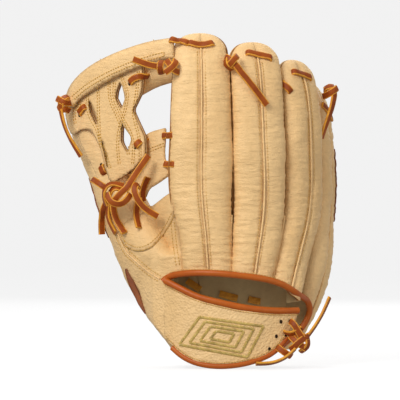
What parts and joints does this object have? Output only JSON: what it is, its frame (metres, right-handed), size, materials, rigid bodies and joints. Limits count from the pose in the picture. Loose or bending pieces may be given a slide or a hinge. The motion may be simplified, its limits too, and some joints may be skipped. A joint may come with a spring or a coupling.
{
  "type": "baseball fielding glove",
  "caption": "Fielding glove for the right hand in tan leather, with a laced thumb web, four finger stalls, an open back and a laced wrist strap.",
  "frame": {"origin": "middle of the hand opening, just inside its bound edge over the back of the hand", "axes": "+Z from the wrist to the fingertips, +X from the thumb to the little finger, +Y from the back of the hand to the ball pocket"},
  "size_m": [0.2518, 0.1215, 0.2884],
  "materials": {
    "shell_leather": "pebbled tan full-grain steerhide, satin",
    "lining_leather": "soft matt inner leather",
    "lace_leather": "oiled brown rawhide lace with raw yellow edges",
    "binding_leather": "smooth orange-brown rolled binding",
    "felt_padding": "pressed wool felt",
    "stiffener_plastic": "flexible sheet",
    "patch_leather": "plain stitched-on leather patch with dark piping",
    "embroidery_thread": "gold embroidery thread",
    "welt_leather": "folded welting strip"
  },
  "bodies": {
    "hand_body": {"palm_leather": "shell_leather", "palm_felt": "felt_padding", "palm_lining": "lining_leather", "index_back_web_side": "shell_leather", "index_back_middle_side": "shell_leather", "index_lining": "lining_leather", "finger_welting": "welt_leather", "middle_back_index_side": "shell_leather", "middle_back_ring_side": "shell_leather", "middle_lining": "lining_leather", "ring_back_middle_side": "shell_leather", "ring_back_pinky_side": "shell_leather", "ring_lining": "lining_leather", "opening_binding": "binding_leather", "fingertip_lace": "lace_leather", "fingertip_knot": "lace_leather", "fingertip_tail": "lace_leather", "heel_lace": "lace_leather"},
    "thumb_side": {"thumb_back_outer_side": "shell_leather", "thumb_back_web_side": "shell_leather", "thumb_lining": "lining_leather", "thumb_stiffener": "stiffener_plastic", "thumb_welt": "welt_leather", "palm_leather_thumb": "shell_leather", "thumb_heel_pad": "felt_padding", "thumb_loop": "lining_leather", "thumb_patches": "patch_leather", "thumb_crotch_gusset": "shell_leather", "web_back_panel": "shell_leather", "web_front_panel": "shell_leather", "web_top_rail": "shell_leather", "web_front_roll": "shell_leather", "web_base_strap": "shell_leather", "web_lace": "lace_leather", "web_top_knot": "lace_leather", "thumb_tip_knot": "lace_leather", "thumb_tail": "lace_leather", "crotch_knot": "lace_leather", "crotch_tail": "lace_leather"},
    "pinky_side": {"pinky_back_ring_side": "shell_leather", "pinky_back_outer_side": "shell_leather", "pinky_lining": "lining_leather", "pinky_stiffener": "stiffener_plastic", "pinky_welt": "welt_leather", "palm_leather_pinky": "shell_leather", "pinky_heel_pad": "felt_padding", "pinky_loop": "lining_leather", "pinky_edge_patch": "patch_leather", "pinky_tip_lace": "lace_leather", "pinky_knot": "lace_leather", "pinky_tail": "lace_leather"},
    "strap": {"wrist_strap": "shell_leather", "strap_lining": "lining_leather", "strap_top_binding": "binding_leather", "strap_bottom_binding": "binding_leather", "strap_badge": "embroidery_thread", "strap_knot": "lace_leather", "strap_tail_up": "lace_leather", "strap_tail_low": "lace_leather"}
  },
  "joints": [
    {"name": "thumb_close", "type": "hinge", "parent": "hand_body", "child": "thumb_side", "pos_m": [-0.02, 0.052, -0.06], "axis": [0.1334, 0.1316, -0.9823], "range_deg": [0, 30]},
    {"name": "pinky_close", "type": "hinge", "parent": "hand_body", "child": "pinky_side", "pos_m": [0.036, 0.06, -0.06], "axis": [0.0956, 0, 0.9954], "range_deg": [0, 25]},
    {"name": "strap_swing", "type": "hinge", "parent": "hand_body", "child": "strap", "pos_m": [-0.06, 0.002, -0.03], "axis": [0, 0, -1], "range_deg": [0, 12]}
  ]
}
